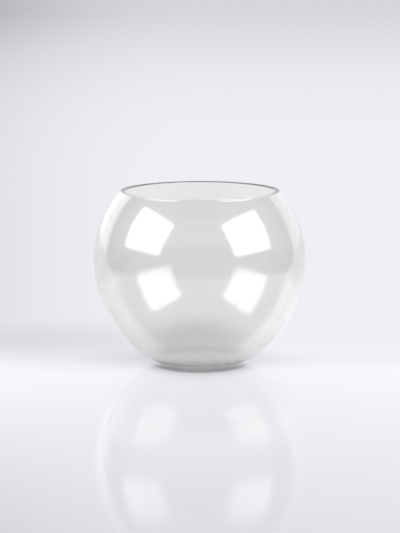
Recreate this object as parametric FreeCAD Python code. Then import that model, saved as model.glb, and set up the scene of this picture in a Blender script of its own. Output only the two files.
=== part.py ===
"""Rose bowl vase: one piece of clear blown glass, open at the top.

Units are millimetres. Z is up, the origin is the middle of the bearing ring
on the table, and every surface is turned about Z from one closed outline.
"""

import FreeCAD, Part

import math
import os

# Outside
BOWL_DIAMETER = 152.0  # across the belly
BELLY_HEIGHT = 73.5  # table to the widest ring
MOUTH_DIAMETER = 113.0  # across the rim where shoulder and top face meet
BASE_DIAMETER = 45.0  # outer edge of the ring that the bowl stands on
HEEL_RADIUS = 26.0  # corner between the flank and the bearing ring

# Glass
WALL_THICKNESS = 2.5  # from the belly up to the mouth
FLOOR_HEIGHT = 3.4  # table to the flat floor inside
FLOOR_DIAMETER = 52.0  # flat part of the floor inside
INNER_HEEL_RADIUS = 20.0  # corner between the floor and the inner flank

# Underside
BEARING_RING_WIDTH = 3.0  # flat ring that touches the table
PUSH_UP_DEPTH = 0.5  # how far the underside domes up inside that ring
PUSH_UP_BLEND_RADIUS = 3.0  # softens the ring's inner edge

# Rim, ground flat and polished
RIM_OUTER_RADIUS = 0.5
RIM_INNER_RADIUS = 0.3

# How far off a ring edge may lie and still be the one that is looked for
EDGE_TOLERANCE_SHARE = 1e-6

# Sizes worked out from the ones above
belly_radius = BOWL_DIAMETER / 2
mouth_radius = MOUTH_DIAMETER / 2
base_radius = BASE_DIAMETER / 2
inner_belly_radius = belly_radius - WALL_THICKNESS
floor_radius = FLOOR_DIAMETER / 2
ring_inner_radius = base_radius - BEARING_RING_WIDTH
mouth_rise = math.sqrt(belly_radius**2 - mouth_radius**2)
bowl_height = BELLY_HEIGHT + mouth_rise
inner_mouth_radius = math.sqrt(inner_belly_radius**2 - mouth_rise**2)


def point(radius, height):
    """A point of the outline, in the half plane right of the axis."""
    return FreeCAD.Vector(radius, 0, height)


def line(start, end):
    return Part.makeLine(point(*start), point(*end))


def arc(centre, radius, start_angle, end_angle):
    """An arc about centre, its angles in radians above the outward direction."""

    def on_arc(angle):
        across = centre[0] + radius * math.cos(angle)
        up = centre[1] + radius * math.sin(angle)
        return point(across, up)

    middle_angle = (start_angle + end_angle) / 2
    through = [on_arc(a) for a in (start_angle, middle_angle, end_angle)]
    return Part.Arc(*through).toShape()


def flank_radius(belly, foot, heel, drop):
    """Radius of the arc that leaves the belly plumb and runs smoothly into the heel.

    belly and foot are the distances from the axis where the curve starts and
    where the heel meets the flat, heel is the heel's radius, and drop is the
    height of the belly above that flat.
    """
    inset = belly - foot
    return (inset**2 + (drop - heel) ** 2 - heel**2) / (2 * (inset - heel))


def wall_curve(belly, foot, heel, flat_height):
    """Heel and flank arcs of one side of the wall, from its flat up to the belly."""
    drop = BELLY_HEIGHT - flat_height
    radius = flank_radius(belly, foot, heel, drop)
    flank_centre = (belly - radius, BELLY_HEIGHT)
    heel_centre = (foot, flat_height + heel)
    across = heel_centre[0] - flank_centre[0]
    down = heel_centre[1] - flank_centre[1]
    meeting_angle = math.atan2(down, across)
    heel_arc = arc(heel_centre, heel, -math.pi / 2, meeting_angle)
    flank_arc = arc(flank_centre, radius, meeting_angle, 0)
    return [heel_arc, flank_arc]


def shoulder(radius):
    """Arc from the belly up to the height of the rim, centred on the axis."""
    return arc((0, BELLY_HEIGHT), radius, 0, math.asin(mouth_rise / radius))


def underside():
    """The domed push-up, its softened edge and the flat bearing ring round it."""
    dome_radius = (ring_inner_radius**2 + PUSH_UP_DEPTH**2) / (2 * PUSH_UP_DEPTH)
    dome_centre = (0, PUSH_UP_DEPTH - dome_radius)
    up = PUSH_UP_BLEND_RADIUS - dome_centre[1]
    across = math.sqrt((dome_radius + PUSH_UP_BLEND_RADIUS) ** 2 - up**2)
    blend_centre = (across, PUSH_UP_BLEND_RADIUS)
    blend_angle = math.atan2(across, up)
    dome = arc(dome_centre, dome_radius, math.pi / 2, math.pi / 2 - blend_angle)
    blend = arc(
        blend_centre, PUSH_UP_BLEND_RADIUS, -math.pi / 2 - blend_angle, -math.pi / 2
    )
    ring = line((across, 0), (base_radius, 0))
    return [dome, blend, ring]


def outline():
    """The closed outline of the glass, from the underside round to the axis."""
    outer = wall_curve(belly_radius, base_radius, HEEL_RADIUS, 0)
    outer.append(shoulder(belly_radius))
    inner = wall_curve(
        inner_belly_radius, floor_radius, INNER_HEEL_RADIUS, FLOOR_HEIGHT
    )
    inner.append(shoulder(inner_belly_radius))
    rim = line((mouth_radius, bowl_height), (inner_mouth_radius, bowl_height))
    floor = line((0, FLOOR_HEIGHT), (floor_radius, FLOOR_HEIGHT))
    axis = line((0, PUSH_UP_DEPTH), (0, FLOOR_HEIGHT))
    edges = underside() + outer + [rim] + inner + [floor, axis]
    return Part.Wire(Part.__sortEdges__(edges))


def ring_edges(solid, radius, height):
    """The edges of solid that go round the axis at this radius and height."""
    tolerance = EDGE_TOLERANCE_SHARE * bowl_height
    found = []
    for edge in solid.Edges:
        if edge.Degenerated or not edge.isClosed():
            continue
        start = edge.firstVertex().Point
        radius_error = abs(math.hypot(start.x, start.y) - radius)
        if max(radius_error, abs(start.z - height)) < tolerance:
            found.append(edge)
    return found


def rounded(solid, radius, ring_radius, ring_height):
    return solid.makeFillet(radius, ring_edges(solid, ring_radius, ring_height))


def glass_bowl():
    turning_axis = FreeCAD.Vector(0, 0, 1)
    solid = Part.Face(outline()).revolve(FreeCAD.Vector(0, 0, 0), turning_axis, 360)
    solid = rounded(solid, RIM_OUTER_RADIUS, mouth_radius, bowl_height)
    solid = rounded(solid, RIM_INNER_RADIUS, inner_mouth_radius, bowl_height)
    return solid


def main():
    os.makedirs("parts", exist_ok=True)
    glass_bowl().exportStep("parts/glass_bowl.step")


main()
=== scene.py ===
"""Rose bowl vase of clear blown glass, on a glossy white table in soft studio light.

The bowl is one outline, drawn on the bowl's right side and turned about Z. The
photograph is taken from the side of negative Y, so Y grows away from the camera.
"""

import math

import bpy
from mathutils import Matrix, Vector


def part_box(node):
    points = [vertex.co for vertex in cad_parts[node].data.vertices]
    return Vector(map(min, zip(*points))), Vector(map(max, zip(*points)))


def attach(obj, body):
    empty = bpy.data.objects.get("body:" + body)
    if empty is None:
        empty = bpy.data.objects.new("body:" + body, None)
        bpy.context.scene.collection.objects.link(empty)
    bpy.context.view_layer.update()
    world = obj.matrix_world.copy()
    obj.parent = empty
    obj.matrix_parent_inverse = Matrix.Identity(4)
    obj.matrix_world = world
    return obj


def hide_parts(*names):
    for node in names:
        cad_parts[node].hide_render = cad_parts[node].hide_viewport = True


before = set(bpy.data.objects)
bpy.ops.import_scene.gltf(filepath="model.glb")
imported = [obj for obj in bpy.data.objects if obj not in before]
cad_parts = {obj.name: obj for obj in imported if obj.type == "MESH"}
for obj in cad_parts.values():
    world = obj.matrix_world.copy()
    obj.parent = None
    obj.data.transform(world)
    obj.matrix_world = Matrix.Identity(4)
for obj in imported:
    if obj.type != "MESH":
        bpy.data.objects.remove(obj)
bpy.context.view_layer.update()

MM = 0.001

# The bowl, in millimetres
LOW_CORNER, HIGH_CORNER = (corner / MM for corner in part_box("glass_bowl"))
BELLY_RADIUS = min(HIGH_CORNER.x, -LOW_CORNER.x)  # stays inside the box on both sides
BOWL_HEIGHT = HIGH_CORNER.z
BELLY_HEIGHT = 73.5
WALL = 2.5
BASE_RADIUS = 22.5
HEEL_RADIUS = 26.0
STANDING_RING_WIDTH = 3.0
PUSH_UP_DEPTH = 0.5
PUSH_UP_BLEND = 3.0
FLOOR_HEIGHT = 3.4
FLOOR_RADIUS = 26.0
INNER_HEEL_RADIUS = 20.0
RIM_OUTER_ROUND = 0.5
RIM_INNER_ROUND = 0.3
MOUTH_RISE = BOWL_HEIGHT - BELLY_HEIGHT
INNER_BELLY_RADIUS = BELLY_RADIUS - WALL
RING_INNER_RADIUS = BASE_RADIUS - STANDING_RING_WIDTH
SEED_SIZE = 1.0  # the square that is merged into the outline's first point
SEAM_TOLERANCE = 0.005

# How many steps each stretch of the outline has, and the turn about Z
PUSH_UP_STEPS = 10
PUSH_UP_BLEND_STEPS = 4
HEEL_STEPS = 14
FLANK_STEPS = 40
SHOULDER_STEPS = 36
RIM_OUTER_STEPS = 6
RIM_INNER_STEPS = 10
INNER_HEEL_STEPS = 12
FLOOR_STEPS = 9
TURN_STEPS = 224

# The glass
GLASS_TINT = "#F9F9F7"
GLASS_ROUGHNESS = 0.1
GLASS_IOR = 1.52

# The photograph's frame, in pixels, and its camera, in millimetres
IMAGE_HEIGHT = 533
FOCAL_PIXELS = 2098.3
SENSOR = 36.0
CAMERA_DISTANCE = 1500.0
CAMERA_HEIGHT = 308.0
TARGET_HEIGHT = 69.4

# The two softboxes, alike: metres from the bowl, size, and how bright their faces are
LAMP_DISTANCE = 1.35
LAMP_WIDTH = 1.15
LAMP_HEIGHT = 0.87
LAMP_RADIANCE = 5.8
LAMP_RISE = 30.0  # degrees up from the bowl
LAMP_BEARINGS = (-67.0, 60.0)  # degrees from the camera's side

# The dark room and the pale backdrop behind the bowl
ROOM = "#48494A"
BACKDROP = "#E9EAEE"
BACKDROP_HALF_WIDTH = 57.5  # degrees to each side, at the horizon
BACKDROP_NARROWING = 0.72  # radians lost for each squared radian of height
BACKDROP_EDGE = (-0.025, 0.025)  # its soft edge, in radians
LEFT_WALL_LEVEL = 1.7  # how bright the backdrop is beside the bowl, for 1 behind it
RIGHT_WALL_LEVEL = 1.32
WALL_TURN = 0.35  # sine of the bearing at which those levels are reached

# The stage, in metres
STAGE_RADIUS = 12.0
STAGE_SIDES = 128
AIR_GAP = 0.0001  # keeps the bowl's glass clear of the stage
STAGE_IOR = 1.45
STAGE_ROUGHNESS = 0.09
STAGE_SPECULAR = 0.5

# The painted light on the stage fans out from a point in front of the bowl
FAN_START = 1.48  # from the bowl to that point
LEAST_AHEAD = 1.0  # shortest distance from it that a slant is worked out with
LEFT_SLANT = -0.095  # metres aside for each metre ahead, where the left side's levels hold
FAN_SIDES = (0.1, 0.2)  # slants between which the fan gives way to plain floor
FAN_FRONT = (-0.44, -0.62)  # Y between which it gives way to plain floor

# How bright the painted light on the pale stage is: the table brightens from its front
# towards the bowl, and the paper behind it is brighter and falls off far away, more so at the
# left
TABLE_AT_BOWL = 0.7
LEFT_SIDE = {"front": 0.5, "paper": 0.8, "far": 0.5}
RIGHT_SIDE = {"front": 0.6, "paper": 0.9, "far": 0.7}
TABLE_REACH = (-0.45, 0.0)  # Y between which the table brightens
TABLE_END = (0.0, 0.08)  # Y between which it gives way to the paper
PAPER_FALL = (1.0, 7.0)  # Y between which the paper falls off
STAGE_TINT = "#FAFBFF"
PLAIN_STAGE = "#E0E1E4"
UNLIT = "#000000"

# The lit table, and the wedge behind it in which the bowl mirrors the backdrop's foot
TABLE_RADIUS = 0.48
TABLE_EDGE = 0.01
WEDGE_HALF_WIDTH = 56.0  # degrees, far away
WEDGE_SPREAD = 0.162  # radians added at a metre, and more nearer to the bowl

# The painted shade round the bowl's foot, darkened into the stage's colour
CONTACT_MIDDLE = (0, -0.0045, 0)
CONTACT_SHADES = (
    # metres from the painted contact shadow's middle, share of the colour that it keeps
    (0.0, 1.0),
    (0.014, 0.95),
    (0.018, 0.42),
    (0.0305, 0.31),
    (0.037, 0.92),
    (0.045, 1.0),
)
CONTACT_FRONT = (0.0, -0.022)  # Y between which the painted contact shadow comes in
SOFT_SHADES = (
    # middle in X and Y, half widths, share of them that is darkest, painted darkening
    ((-0.004, 0.006), (0.1, 0.055), 0.2, 0.2),
    ((-0.09, 0.06), (0.14, 0.13), 0.2, 0.11),
    ((0, -0.11), (0.07, 0.13), 0.6, 0.06),
)

# How strongly the stage shines by itself: less in an oval behind the foot, a painted shade,
# and more towards the bowl than in a straight view, a painted light
DIM_MIDDLE = (0, 0.06)
DIM_HALF_WIDTHS = (0.0542, 0.1444)
DIM_CORE = 0.338  # share of the oval that is dimmest
DIM_GLOW = 0.66
LIFT_TURN = (-0.1, 0.25)  # Y between which the front's extra painted light gives way to the back's
FRONT_LIFT = 0.42
BACK_LIFT = 0.12

# Where the table is polished
POLISH_FRONT = (0.12, -0.05)  # Y between which the polish comes in
POLISH_POWER = 4.0  # keeps the polish's far end from showing as a line

# Where a colour mix node has its share, its two colours and its result
MIX_SHARE = 0
MIX_FIRST = 6
MIX_SECOND = 7
MIX_RESULT = 2

# Light runs on inside the thick rim and base for many bounces
MAX_BOUNCES = 32
GLOSSY_BOUNCES = 24
TRANSMISSION_BOUNCES = 32


def linear(hex_colour):
    """An sRGB hex colour as linear RGBA."""
    parts = [int(hex_colour[i:i + 2], 16) / 255 for i in (1, 3, 5)]
    bent = [p / 12.92 if p <= 0.04045 else ((p + 0.055) / 1.055) ** 2.4 for p in parts]
    return (*bent, 1.0)


def add_node(tree, kind, settings=None, inputs=None):
    """Adds a node with its settings; an input is a value or the output that feeds it."""
    node = tree.nodes.new(kind)
    for name, value in (settings or {}).items():
        setattr(node, name, value)
    for name, value in (inputs or {}).items():
        if isinstance(value, bpy.types.NodeSocket):
            tree.links.new(value, node.inputs[name])
        else:
            node.inputs[name].default_value = value
    return node


def calculate(tree, operation, *values, clamp=False):
    """One step of arithmetic on numbers and outputs."""
    settings = {"operation": operation, "use_clamp": clamp}
    return add_node(tree, "ShaderNodeMath", settings, dict(enumerate(values))).outputs[0]


def fade(tree, value, ends, levels=(0.0, 1.0), kind="SMOOTHSTEP"):
    """Goes from one level to the other while value goes from one end to the other."""
    limits = {
        "From Min": ends[0],
        "From Max": ends[1],
        "To Min": levels[0],
        "To Max": levels[1],
    }
    settings = {"interpolation_type": kind}
    node = add_node(tree, "ShaderNodeMapRange", settings, {"Value": value, **limits})
    return node.outputs["Result"]


def length_of(tree, vector):
    node = add_node(tree, "ShaderNodeVectorMath", {"operation": "LENGTH"}, {0: vector})
    return node.outputs["Value"]


def scaled(tree, colour, share):
    """The colour, made darker or brighter."""
    settings = {"operation": "SCALE"}
    node = add_node(tree, "ShaderNodeVectorMath", settings, {0: colour, "Scale": share})
    return node.outputs[0]


def blend(tree, share, first, second, kind="MIX"):
    """Goes from the first colour to the second while share goes from 0 to 1."""
    settings = {"data_type": "RGBA", "blend_type": kind}
    inputs = {MIX_SHARE: share, MIX_FIRST: first, MIX_SECOND: second}
    return add_node(tree, "ShaderNodeMix", settings, inputs).outputs[MIX_RESULT]


def colour_ramp(tree, share, places, colours):
    """Goes through the colours while share goes through their places, from 0 to 1."""
    node = add_node(tree, "ShaderNodeValToRGB", inputs={0: share})
    stops = node.color_ramp.elements
    for place in places[1:-1]:
        stops.new(place)
    for stop, colour in zip(stops, colours):
        stop.color = colour
    return node.outputs["Color"]


def flank_radius(belly, foot, heel, drop):
    """Radius of the arc that leaves the belly plumb and runs smoothly into the heel."""
    inset = belly - foot
    return (inset**2 + (drop - heel) ** 2 - heel**2) / (2 * (inset - heel))


def start_outline(name, radius, height):
    """A new piece in edit mode with one selected vertex, where its outline starts."""
    bpy.ops.object.select_all(action="DESELECT")
    bpy.ops.mesh.primitive_plane_add(
        size=SEED_SIZE * MM, location=(radius * MM, 0, height * MM)
    )
    piece = bpy.context.object
    piece.name = piece.data.name = name
    bpy.ops.object.transform_apply(location=True)
    bpy.ops.object.mode_set(mode="EDIT")
    bpy.ops.mesh.merge(type="CENTER")
    return piece


def draw_arc(centre, sweep, steps):
    """Spins the outline's end about centre; a positive sweep turns outward to up."""
    bpy.ops.mesh.spin(
        steps=steps,
        angle=sweep,
        center=(centre[0] * MM, 0, centre[1] * MM),
        axis=(0, 1, 0),
    )


def draw_line(across, steps=1):
    """Extends the outline's end level and straight, in equal steps."""
    step = (across * MM / steps, 0, 0)
    for _ in range(steps):
        bpy.ops.mesh.extrude_region_move(TRANSFORM_OT_translate={"value": step})


def draw_underside():
    """From the axis out over the push-up, its rounded edge and the standing ring."""
    dome = (RING_INNER_RADIUS**2 + PUSH_UP_DEPTH**2) / (2 * PUSH_UP_DEPTH)
    dome_drop = dome - PUSH_UP_DEPTH
    blend_across = math.sqrt((dome + PUSH_UP_BLEND) ** 2 - (dome_drop + PUSH_UP_BLEND) ** 2)
    blend_angle = math.atan2(blend_across, dome_drop + PUSH_UP_BLEND)
    draw_arc((0, -dome_drop), -blend_angle, PUSH_UP_STEPS)
    draw_arc((blend_across, PUSH_UP_BLEND), blend_angle, PUSH_UP_BLEND_STEPS)
    draw_line(BASE_RADIUS - blend_across)


def draw_outside():
    """From the standing ring up over the heel and the flank to the belly."""
    flank = flank_radius(BELLY_RADIUS, BASE_RADIUS, HEEL_RADIUS, BELLY_HEIGHT)
    meeting = math.atan2(HEEL_RADIUS - BELLY_HEIGHT, BASE_RADIUS - BELLY_RADIUS + flank)
    draw_arc((BASE_RADIUS, HEEL_RADIUS), meeting + math.pi / 2, HEEL_STEPS)
    draw_arc((BELLY_RADIUS - flank, BELLY_HEIGHT), -meeting, FLANK_STEPS)


def draw_shoulders_and_rim():
    """From the belly up, over the rounded edges of the flat rim, and down inside."""
    outer_rise = MOUTH_RISE - RIM_OUTER_ROUND
    outer_across = math.sqrt((BELLY_RADIUS - RIM_OUTER_ROUND) ** 2 - outer_rise**2)
    outer_angle = math.atan2(outer_rise, outer_across)
    outer_round = (outer_across, BELLY_HEIGHT + outer_rise)
    inner_rise = MOUTH_RISE - RIM_INNER_ROUND
    inner_across = math.sqrt((INNER_BELLY_RADIUS + RIM_INNER_ROUND) ** 2 - inner_rise**2)
    inner_angle = math.atan2(inner_rise, inner_across)
    inner_round = (inner_across, BELLY_HEIGHT + inner_rise)
    draw_arc((0, BELLY_HEIGHT), outer_angle, SHOULDER_STEPS)
    draw_arc(outer_round, math.pi / 2 - outer_angle, RIM_OUTER_STEPS)
    draw_line(inner_across - outer_across)
    draw_arc(inner_round, math.pi / 2 + inner_angle, RIM_INNER_STEPS)
    draw_arc((0, BELLY_HEIGHT), -inner_angle, SHOULDER_STEPS)


def draw_inside():
    """From the belly down the inner flank and heel, and over the floor to the axis."""
    drop = BELLY_HEIGHT - FLOOR_HEIGHT
    flank = flank_radius(INNER_BELLY_RADIUS, FLOOR_RADIUS, INNER_HEEL_RADIUS, drop)
    meeting = math.atan2(INNER_HEEL_RADIUS - drop, FLOOR_RADIUS - INNER_BELLY_RADIUS + flank)
    heel_centre = (FLOOR_RADIUS, FLOOR_HEIGHT + INNER_HEEL_RADIUS)
    draw_arc((INNER_BELLY_RADIUS - flank, BELLY_HEIGHT), meeting, FLANK_STEPS)
    draw_arc(heel_centre, -math.pi / 2 - meeting, INNER_HEEL_STEPS)
    draw_line(-FLOOR_RADIUS, FLOOR_STEPS)


def blow_bowl():
    piece = start_outline("blown_glass_bowl", 0, PUSH_UP_DEPTH)
    draw_underside()
    draw_outside()
    draw_shoulders_and_rim()
    draw_inside()
    bpy.ops.mesh.select_all(action="SELECT")
    bpy.ops.mesh.spin(steps=TURN_STEPS, angle=2 * math.pi, center=(0, 0, 0), axis=(0, 0, 1))
    bpy.ops.mesh.select_all(action="SELECT")
    bpy.ops.mesh.remove_doubles(threshold=SEAM_TOLERANCE * MM)
    bpy.ops.mesh.normals_make_consistent(inside=False)
    bpy.ops.object.mode_set(mode="OBJECT")
    bpy.ops.object.shade_smooth()
    return piece


def soda_lime_glass():
    """Clear blown soda-lime glass: smooth, bright, a trace of grey-green."""
    material = bpy.data.materials.new("clear_blown_soda_lime_glass")
    material.use_nodes = True
    shader = material.node_tree.nodes["Principled BSDF"]
    shader.inputs["Base Color"].default_value = linear(GLASS_TINT)
    shader.inputs["Transmission Weight"].default_value = 1.0
    shader.inputs["Roughness"].default_value = GLASS_ROUGHNESS
    shader.inputs["IOR"].default_value = GLASS_IOR
    return material


def after_bounce(tree):
    """0 in a straight view, through glass too, and 1 for rays that a surface throws back."""
    path = add_node(tree, "ShaderNodeLightPath")
    bounces = calculate(tree, "ADD", path.outputs["Glossy Depth"], path.outputs["Diffuse Depth"])
    return calculate(tree, "MINIMUM", bounces, 1.0)


def in_backdrop(tree, axes, half_width):
    """1 where axes point at the pale backdrop behind the bowl, 0 at the dark room."""
    side = calculate(tree, "ABSOLUTE", axes.outputs["X"])
    bearing = calculate(tree, "ARCTAN2", side, axes.outputs["Y"])
    inside = calculate(tree, "SUBTRACT", half_width, bearing)
    return fade(tree, inside, BACKDROP_EDGE)


def backdrop_level(tree, axes):
    """How bright the backdrop is: 1 behind the bowl, more towards both sides."""
    left = fade(tree, axes.outputs["X"], (0.0, -WALL_TURN), (1.0, LEFT_WALL_LEVEL))
    right = fade(tree, axes.outputs["X"], (0.0, WALL_TURN), (1.0, RIGHT_WALL_LEVEL))
    return calculate(tree, "MULTIPLY", left, right)


def studio_world():
    """A dark room with a pale backdrop; a straight view past the bowl is pale all round."""
    world = bpy.data.worlds.new("studio")
    world.use_nodes = True
    world.cycles.sampling_method = "NONE"
    bpy.context.scene.world = world
    tree = world.node_tree
    direction = add_node(tree, "ShaderNodeTexCoord").outputs["Generated"]
    axes = add_node(tree, "ShaderNodeSeparateXYZ", inputs={0: direction})
    height = calculate(tree, "ARCSINE", axes.outputs["Z"])
    squared = calculate(tree, "MULTIPLY", height, height)
    widest = math.radians(BACKDROP_HALF_WIDTH)
    half_width = calculate(tree, "MULTIPLY_ADD", squared, -BACKDROP_NARROWING, widest)
    backdrop = scaled(tree, linear(BACKDROP)[:3], backdrop_level(tree, axes))
    around = blend(tree, in_backdrop(tree, axes, half_width), linear(ROOM), backdrop)
    seen = blend(tree, after_bounce(tree), linear(BACKDROP), around)
    tree.links.new(seen, tree.nodes["Background"].inputs["Color"])


def slant_in_fan(tree, axes):
    """How far a place is aside, for each metre that it is ahead of the fan's start."""
    ahead = calculate(tree, "ADD", axes.outputs["Y"], FAN_START)
    at_least = calculate(tree, "MAXIMUM", ahead, LEAST_AHEAD)
    return calculate(tree, "DIVIDE", axes.outputs["X"], at_least)


def outside_fan(tree, axes, slant):
    """0 inside the fan, 1 beside it and in front of its used part."""
    beside = fade(tree, calculate(tree, "ABSOLUTE", slant), FAN_SIDES)
    nearer = fade(tree, axes.outputs["Y"], FAN_FRONT)
    return calculate(tree, "MAXIMUM", beside, nearer)


def side_level(tree, distance, front, paper, far):
    """How bright the stage's painted light is along one side: the table, then the paper behind
    it.
    """
    table = fade(tree, distance, TABLE_REACH, (front, TABLE_AT_BOWL), kind="LINEAR")
    behind = fade(tree, distance, PAPER_FALL, (paper, far))
    return fade(tree, distance, TABLE_END, (table, behind))


def pale_colour(tree, axes, slant, outside):
    """The stage's pale tint at its painted light levels in the fan, and one plain colour outside
    it.
    """
    left = side_level(tree, axes.outputs["Y"], **LEFT_SIDE)
    right = side_level(tree, axes.outputs["Y"], **RIGHT_SIDE)
    leftness = fade(tree, slant, (0.0, LEFT_SLANT), kind="LINEAR")
    left_share = calculate(tree, "MULTIPLY", leftness, leftness)
    level = fade(tree, left_share, (0.0, 1.0), (right, left), kind="LINEAR")
    in_fan = scaled(tree, linear(STAGE_TINT)[:3], level)
    return blend(tree, outside, in_fan, linear(PLAIN_STAGE))


def outward_in_oval(tree, place, middle, half_widths):
    """0 in the middle of an oval that lies on the stage, 1 at its edge."""
    inputs = {
        "Vector": place,
        "Location": (-middle[0] / half_widths[0], -middle[1] / half_widths[1], 0),
        "Scale": (1 / half_widths[0], 1 / half_widths[1], 1),
    }
    return length_of(tree, add_node(tree, "ShaderNodeMapping", inputs=inputs).outputs[0])


def softly_shaded(tree, colour, place):
    """The colour, darkened by painted soft shadows in wide ovals round the bowl's foot."""
    for middle, half_widths, core, darkening in SOFT_SHADES:
        outward = outward_in_oval(tree, place, middle, half_widths)
        kept = fade(tree, outward, (core, 1.0), (1 - darkening, 1.0))
        colour = scaled(tree, colour, kept)
    return colour


def contact_shaded(tree, colour, place, axes):
    """The colour, darkened by a painted shadow in a thin line under the front of the bowl's
    heel.
    """
    distance = add_node(
        tree, "ShaderNodeVectorMath", {"operation": "DISTANCE"}, {0: place, 1: CONTACT_MIDDLE}
    )
    distances, shares = zip(*CONTACT_SHADES)
    outermost = distances[-1]
    share = calculate(tree, "DIVIDE", distance.outputs["Value"], outermost)
    places = [metres / outermost for metres in distances]
    greys = [(grey, grey, grey, 1.0) for grey in shares]
    shade = colour_ramp(tree, share, places, greys)
    in_front = fade(tree, axes.outputs["Y"], CONTACT_FRONT)
    return blend(tree, in_front, colour, shade, "MULTIPLY")


def in_dark_room(tree, axes, place, mirrored):
    """1 where a mirrored ray meets the floor past the lit table and the backdrop's foot."""
    reach = length_of(tree, place)
    on_table = fade(tree, reach, (TABLE_RADIUS + TABLE_EDGE, TABLE_RADIUS - TABLE_EDGE))
    spread = calculate(tree, "DIVIDE", WEDGE_SPREAD, reach)
    half_width = calculate(tree, "ADD", spread, math.radians(WEDGE_HALF_WIDTH))
    lit = calculate(tree, "MAXIMUM", on_table, in_backdrop(tree, axes, half_width))
    return calculate(tree, "SUBTRACT", mirrored, lit, clamp=True)


def table_specular(tree, axes, outside, mirrored):
    """How much the table mirrors: in front of the bowl, and in a straight view only."""
    polish = fade(tree, axes.outputs["Y"], POLISH_FRONT)
    polished = calculate(tree, "SUBTRACT", polish, outside, clamp=True)
    gloss = calculate(tree, "POWER", polished, POLISH_POWER)
    direct = calculate(tree, "MULTIPLY_ADD", mirrored, -STAGE_SPECULAR, STAGE_SPECULAR)
    return calculate(tree, "MULTIPLY", gloss, direct)


def stage_material():
    """Glossy white acrylic under the bowl that runs on into matt white paper.

    It shines by itself in its pale colours, so that it looks evenly lit whatever
    falls on it; its brighter and darker parts are painted light and painted shade. In
    the oval behind the foot it shines less and takes the studio's light instead: a
    soft shade seen through the glass, painted where the glow drops and partly real
    where the glass dims that light.
    """
    material = bpy.data.materials.new("white_acrylic_and_paper")
    material.use_nodes = True
    material.cycles.emission_sampling = "NONE"
    tree = material.node_tree
    shader = tree.nodes["Principled BSDF"]
    place = add_node(tree, "ShaderNodeTexCoord").outputs["Object"]
    axes = add_node(tree, "ShaderNodeSeparateXYZ", inputs={0: place})
    mirrored = after_bounce(tree)

    slant = slant_in_fan(tree, axes)
    outside = outside_fan(tree, axes, slant)
    # painted light: the stage's levels brighten towards the bowl and fall off across the fan
    pale = pale_colour(tree, axes, slant, outside)
    # painted soft shadows in ovals round the foot
    shaded = softly_shaded(tree, pale, place)
    # painted contact shadow under the front of the heel
    at_foot = contact_shaded(tree, shaded, place, axes)
    dark = in_dark_room(tree, axes, place, mirrored)
    # painted shade: to mirrored rays past the lit table the stage shows the dark room's colour
    colour = blend(tree, dark, at_foot, linear(ROOM))

    # painted shade: the stage's glow drops in an oval behind the foot
    from_dim = outward_in_oval(tree, place, DIM_MIDDLE, DIM_HALF_WIDTHS)
    glow = fade(tree, from_dim, (DIM_CORE, 1.0), (DIM_GLOW, 1.0))
    # painted light: the stage shines brighter in what the bowl mirrors than seen straight
    extra = fade(tree, axes.outputs["Y"], LIFT_TURN, (FRONT_LIFT, BACK_LIFT))
    lift = calculate(tree, "MULTIPLY_ADD", mirrored, extra, 1.0)
    strength = calculate(tree, "MULTIPLY", glow, lift)
    world_lit_base = blend(tree, glow, colour, linear(UNLIT))
    specular = table_specular(tree, axes, outside, mirrored)

    tree.links.new(world_lit_base, shader.inputs["Base Color"])
    tree.links.new(colour, shader.inputs["Emission Color"])
    tree.links.new(strength, shader.inputs["Emission Strength"])
    tree.links.new(specular, shader.inputs["Specular IOR Level"])
    shader.inputs["IOR"].default_value = STAGE_IOR
    shader.inputs["Roughness"].default_value = STAGE_ROUGHNESS
    return material


def add_stage():
    bpy.ops.object.select_all(action="DESELECT")
    bpy.ops.mesh.primitive_circle_add(
        vertices=STAGE_SIDES, radius=STAGE_RADIUS, fill_type="NGON", location=(0, 0, -AIR_GAP)
    )
    floor = bpy.context.object
    floor.name = "floor"
    floor.data.materials.append(stage_material())


def add_lamps(lit_piece):
    """Two large softboxes in front of the bowl, one on each side of the camera.

    They light the bowl only, so that the polished table doesn't mirror them
    when it is looked at from behind.
    """
    lit = bpy.data.collections.new("lit_by_softboxes")
    lit.objects.link(lit_piece)
    middle = Vector((0, 0, BELLY_HEIGHT * MM))
    up = math.radians(LAMP_RISE)
    for bearing in LAMP_BEARINGS:
        turn = math.radians(bearing)
        direction = Vector(
            (math.sin(turn) * math.cos(up), -math.cos(turn) * math.cos(up), math.sin(up))
        )
        softbox = bpy.data.lights.new("softbox", "AREA")
        softbox.shape = "RECTANGLE"
        softbox.size = LAMP_WIDTH
        softbox.size_y = LAMP_HEIGHT
        softbox.energy = LAMP_RADIANCE * math.pi * LAMP_WIDTH * LAMP_HEIGHT
        lamp = bpy.data.objects.new("softbox", softbox)
        lamp.location = middle + direction * LAMP_DISTANCE
        lamp.rotation_euler = direction.to_track_quat("Z", "Y").to_euler()
        lamp.visible_camera = False
        lamp.light_linking.receiver_collection = lit
        bpy.context.scene.collection.objects.link(lamp)


def add_camera():
    rise = CAMERA_HEIGHT - TARGET_HEIGHT
    back = math.sqrt(CAMERA_DISTANCE**2 - rise**2)
    place = Vector((0, -back, CAMERA_HEIGHT)) * MM
    target = Vector((0, 0, TARGET_HEIGHT)) * MM
    lens = bpy.data.cameras.new("camera")
    lens.sensor_width = SENSOR
    lens.lens = FOCAL_PIXELS / IMAGE_HEIGHT * SENSOR
    camera = bpy.data.objects.new("camera", lens)
    camera.location = place
    camera.rotation_euler = (target - place).to_track_quat("-Z", "Y").to_euler()
    bpy.context.scene.collection.objects.link(camera)
    bpy.context.scene.camera = camera


bowl = blow_bowl()
bowl.data.materials.append(soda_lime_glass())
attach(bowl, "root")
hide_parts("glass_bowl")

studio_world()
add_stage()
add_lamps(bowl)
add_camera()

cycles = bpy.context.scene.cycles
cycles.max_bounces = MAX_BOUNCES
cycles.glossy_bounces = GLOSSY_BOUNCES
cycles.transmission_bounces = TRANSMISSION_BOUNCES

bpy.context.scene.view_settings.view_transform = "Standard"
